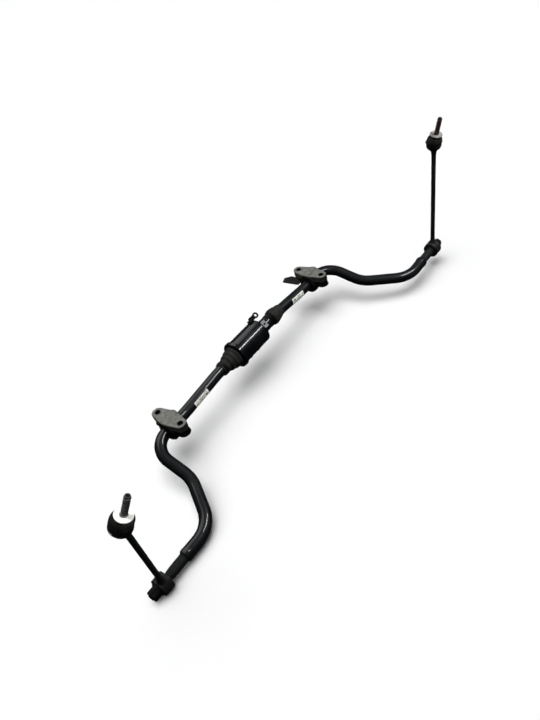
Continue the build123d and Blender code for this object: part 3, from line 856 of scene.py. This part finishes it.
def link_stud(side, name):
    """Ball stud with a rolled thread, a dog point and a hexagon socket, and its flange plate."""
    ball = [(BALL_R * math.sin(a), -BALL_R * math.cos(a)) for a in dense(0, 2.66, 0.12)]
    shank = [(5.0, 12), (5.0, 16), (6.3, 20), (7.5, 23.6), (7.5, 24), (6.6, 24), (6.6, 27), (5.5, 27.4),
             (5.4, 28.3)]
    turns = [(STUD_R, h) for h in dense(THREAD_START, STUD_END - 4, 0.22)]
    tip = [(5.2, STUD_END - 3.6), (5.1, STUD_END - 0.6), (4.6, STUD_END), (3.6, STUD_END),
           (SOCKET_R, STUD_END - 0.5), (SOCKET_R, STUD_END - 7), (0, STUD_END - 8)]
    thread = thread_shape(STUD_R, 0.8, 1.75, THREAD_START + 0.3, STUD_END - 4)

    def shape(angle, radius, along):
        if radius == SOCKET_R:
            return hexagon(SOCKET_FLATS, angle), along
        return thread(angle, radius, along)

    material = MATERIALS["zinc"] if side < 0 else RUSTY
    turned(f"{name}_stud_threaded", BALL[side], STUD[side], ball + shank + turns + tip, material,
           f"{name}_joint_stud", f"{name}_ball_stud", sides=60, shape=shape)
    plate = rounded(
        [(6.7, 24), (14.9, 24), (15.7, 24.6), (15.7, 26.2), (15.1, 27), (6.7, 27)], 0.5, 3, closed=True)
    finish = MATERIALS["white_plate"] if side < 0 else WORN_PLATE
    turned(f"{name}_flange_plate", BALL[side], STUD[side], plate, finish, f"{name}_joint_stud",
           f"{name}_stud_flange", closed=True)


def eye_fittings(side, name):
    """Rubber bush, its steel sleeve, washer and nut on the arm's pin."""
    axis, eye = X_AXIS * side, EYE[side]
    bush = rounded(
        [(10.1, -12.6), (12, -13.4), (15, -13.2), (17, -11.2), (17, 11.2), (15, 13.2), (12, 13.4),
         (10.1, 12.6)], 0.9, 3, closed=True)
    turned(f"{name}_eye_rubber", eye, axis, bush, MATERIALS["rubber"], f"{name}_link_rod",
           f"{name}_eye_bush", closed=True)
    sleeve = rounded([(7.05, -13.5), (10, -13.5), (10, 13.5), (7.05, 13.5)], 0.4, 3, closed=True)
    turned(f"{name}_eye_tube", eye, axis, sleeve, MATERIALS["steel"], f"{name}_half",
           f"{name}_eye_sleeve", closed=True)
    washer = rounded([(7.1, 13.5), (15, 13.5), (15, WASHER_FACE), (7.1, WASHER_FACE)], 0.6, 3, closed=True)
    turned(f"{name}_eye_disc", eye, axis, washer, MATERIALS["link_coat"], f"{name}_half",
           f"{name}_eye_washer", closed=True)
    bm = bmesh.new()
    hex_nut(bm, eye + axis * WASHER_FACE * MM, axis, flats=22.0, height=16.5, bore=7.02)
    mesh = to_mesh(f"{name}_eye_hexnut", bm)
    add_piece(f"{name}_eye_hexnut", mesh, MATERIALS["dark_steel"], f"{name}_half", f"{name}_eye_nut", 30)


for side, name in SIDES:
    link_forging(side, name)
    link_boot(side, name)
    link_stud(side, name)
    eye_fittings(side, name)

# ------------------------------------------------------------------ finishes on the remaining CAD nodes
for node, cad in frame["nodes"].items():
    slot = SLOTS[node]
    side_name = node.split("_")[0]
    finish = MATERIALS[f"paper_{side_name}"] if slot == "paper" else MATERIALS[slot]
    cad.data.materials.clear()
    cad.data.materials.append(finish)

# ------------------------------------------------------------------ stage, light, camera
FLOOR = CAD_BOX[0].z - 0.0005


def floor_material():
    shader = Shader("floor", roughness=0.9)
    shader.bsdf.inputs["Specular IOR Level"].default_value = 0.1
    grain = shader.noise(0.4, detail=2)
    shader.colour(shader.mix(grain, (0.9, 0.9, 0.9), (0.93, 0.93, 0.93)))
    return shader.material


def staged(name, bm, material):
    """Object of the stage, which is no part of the sway bar."""
    mesh = to_mesh(name, bm)
    mesh.materials.append(material)
    made = bpy.data.objects.new(name, mesh)
    bpy.context.scene.collection.objects.link(made)
    made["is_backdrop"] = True
    return made


def make_floor():
    """Pale floor that the sway bar doesn't mirror or take light from."""
    bm = bmesh.new()
    bmesh.ops.create_grid(bm, x_segments=8, y_segments=8, size=12.0)
    floor = staged("floor", bm, floor_material())
    floor.location = (CAD_BOX[0] + CAD_BOX[1]) / 2
    floor.location.z = FLOOR
    floor.visible_glossy = floor.visible_diffuse = False
    return floor


def backdrop_material():
    material = bpy.data.materials.new("backdrop")
    material.use_nodes = True
    tree = material.node_tree
    tree.nodes.clear()
    glow = tree.nodes.new("ShaderNodeEmission")
    glow.inputs["Strength"].default_value = 0.97
    output = tree.nodes.new("ShaderNodeOutputMaterial")
    tree.links.new(glow.outputs[0], output.inputs["Surface"])
    return material


def make_backdrop():
    """Plain white dome behind the floor, seen by the camera alone."""
    bm = bmesh.new()
    bmesh.ops.create_uvsphere(bm, u_segments=48, v_segments=24, radius=11.0)
    dome = staged("backdrop", bm, backdrop_material())
    dome.location = (CAD_BOX[0] + CAD_BOX[1]) / 2
    dome.visible_glossy = dome.visible_diffuse = dome.visible_shadow = False
    dome.visible_transmission = False


def lamp(name, kind, aim, direction, distance, power, receivers, **values):
    """Lamp that faces aim from a direction and lights one collection."""
    data = bpy.data.lights.new(name, kind)
    data.energy = power
    for key, value in values.items():
        setattr(data, key, value)
    made = bpy.data.objects.new(name, data)
    away = Vector(direction).normalized()
    made.location = aim + away * distance
    made.rotation_mode = "QUATERNION"
    made.rotation_quaternion = (-away).to_track_quat("-Z", "Y")
    made.light_linking.receiver_collection = receivers
    bpy.context.scene.collection.objects.link(made)


def make_world(low, high):
    """Dim room with a brighter ceiling."""
    world = bpy.data.worlds.new("studio")
    world.use_nodes = True
    tree = world.node_tree
    place = tree.nodes.new("ShaderNodeTexCoord")
    split = tree.nodes.new("ShaderNodeSeparateXYZ")
    span = tree.nodes.new("ShaderNodeMapRange")
    span.inputs["From Min"].default_value = -0.1
    span.inputs["From Max"].default_value = 1.0
    span.inputs["To Min"].default_value = low
    span.inputs["To Max"].default_value = high
    tree.links.new(place.outputs["Generated"], split.inputs["Vector"])
    tree.links.new(split.outputs["Z"], span.inputs["Value"])
    background = tree.nodes["Background"]
    background.inputs["Color"].default_value = (0.95, 0.97, 1.0, 1.0)
    tree.links.new(span.outputs["Result"], background.inputs["Strength"])
    bpy.context.scene.world = world


CAMERA_AT = Vector((-0.4381, -0.9047, 0.9438))
CAMERA_RIGHT = Vector((0.5855, -0.7752, -0.2370))
CAMERA_UP = Vector((0.6439, 0.2671, 0.7170))
LENS = 39.35
SENSOR = 36.0


def make_camera():
    data = bpy.data.cameras.new("camera")
    data.sensor_fit = "HORIZONTAL"
    data.sensor_width = SENSOR
    data.lens = LENS
    data.clip_start, data.clip_end = 0.05, 50
    camera = bpy.data.objects.new("camera", data)
    right = CAMERA_RIGHT.normalized()
    up = (CAMERA_UP - right * CAMERA_UP.dot(right)).normalized()
    turn = Matrix((right, up, right.cross(up))).transposed().to_4x4()
    camera.matrix_world = Matrix.Translation(CAMERA_AT) @ turn
    bpy.context.scene.collection.objects.link(camera)
    bpy.context.scene.camera = camera


def set_stage():
    """Floor, backdrop and lamps. Light linking gives the floor, all pieces, the glossy ones,
    the grey castings and the pale ones lamps of their own."""
    ground = bpy.data.collections.new("ground")
    ground.objects.link(make_floor())
    make_backdrop()
    make_world(0.01, 0.14)
    objects = bpy.data.collections.new("object")
    glossy = bpy.data.collections.new("glossy")
    cast = bpy.data.collections.new("cast")
    pale = bpy.data.collections.new("pale")
    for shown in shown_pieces():
        objects.objects.link(shown)
        finish = shown.material_slots[0].material
        if finish not in (MATERIALS["cast_grey"], MATERIALS["dark_steel"]):
            glossy.objects.link(shown)
        if finish == MATERIALS["cast_grey"]:
            cast.objects.link(shown)
        if finish in (MATERIALS["white_plate"], MATERIALS["paper_left"], MATERIALS["paper_right"]):
            pale.objects.link(shown)
    middle = Vector((0.288, -0.05, 0.02))
    lamp("floor_key", "SUN", middle, (0.02, 0.02, 1.0), 3, 1.35, ground, angle=math.radians(44))
    lamp("floor_fill", "SUN", middle, (-0.3, 0.1, 1.0), 3, 1.95, ground, angle=math.radians(80))
    lamp("streak", "AREA", Vector((1.37, 0, 0.02)), (0, -1.115, 1.61), 1.96, 24, glossy,
         shape="RECTANGLE", size=1.5, size_y=0.12)
    lamp("ceiling", "AREA", middle, (0.15, 0.62, 0.85), 2.6, 20, objects,
         shape="RECTANGLE", size=2.6, size_y=2.2)
    lamp("castings", "SUN", middle, (0.25, 0.4, 1.0), 3, 1.3, cast, angle=math.radians(20))
    lamp("plates", "SUN", middle, (0.1, 0.3, 1.0), 3, 3.6, pale, angle=math.radians(20))
    lamp("labels", "SUN", middle, (-0.1, -0.8, 0.5), 3, 1.4, pale, angle=math.radians(20))


set_stage()
make_camera()
bpy.context.scene.view_settings.view_transform = "Standard"
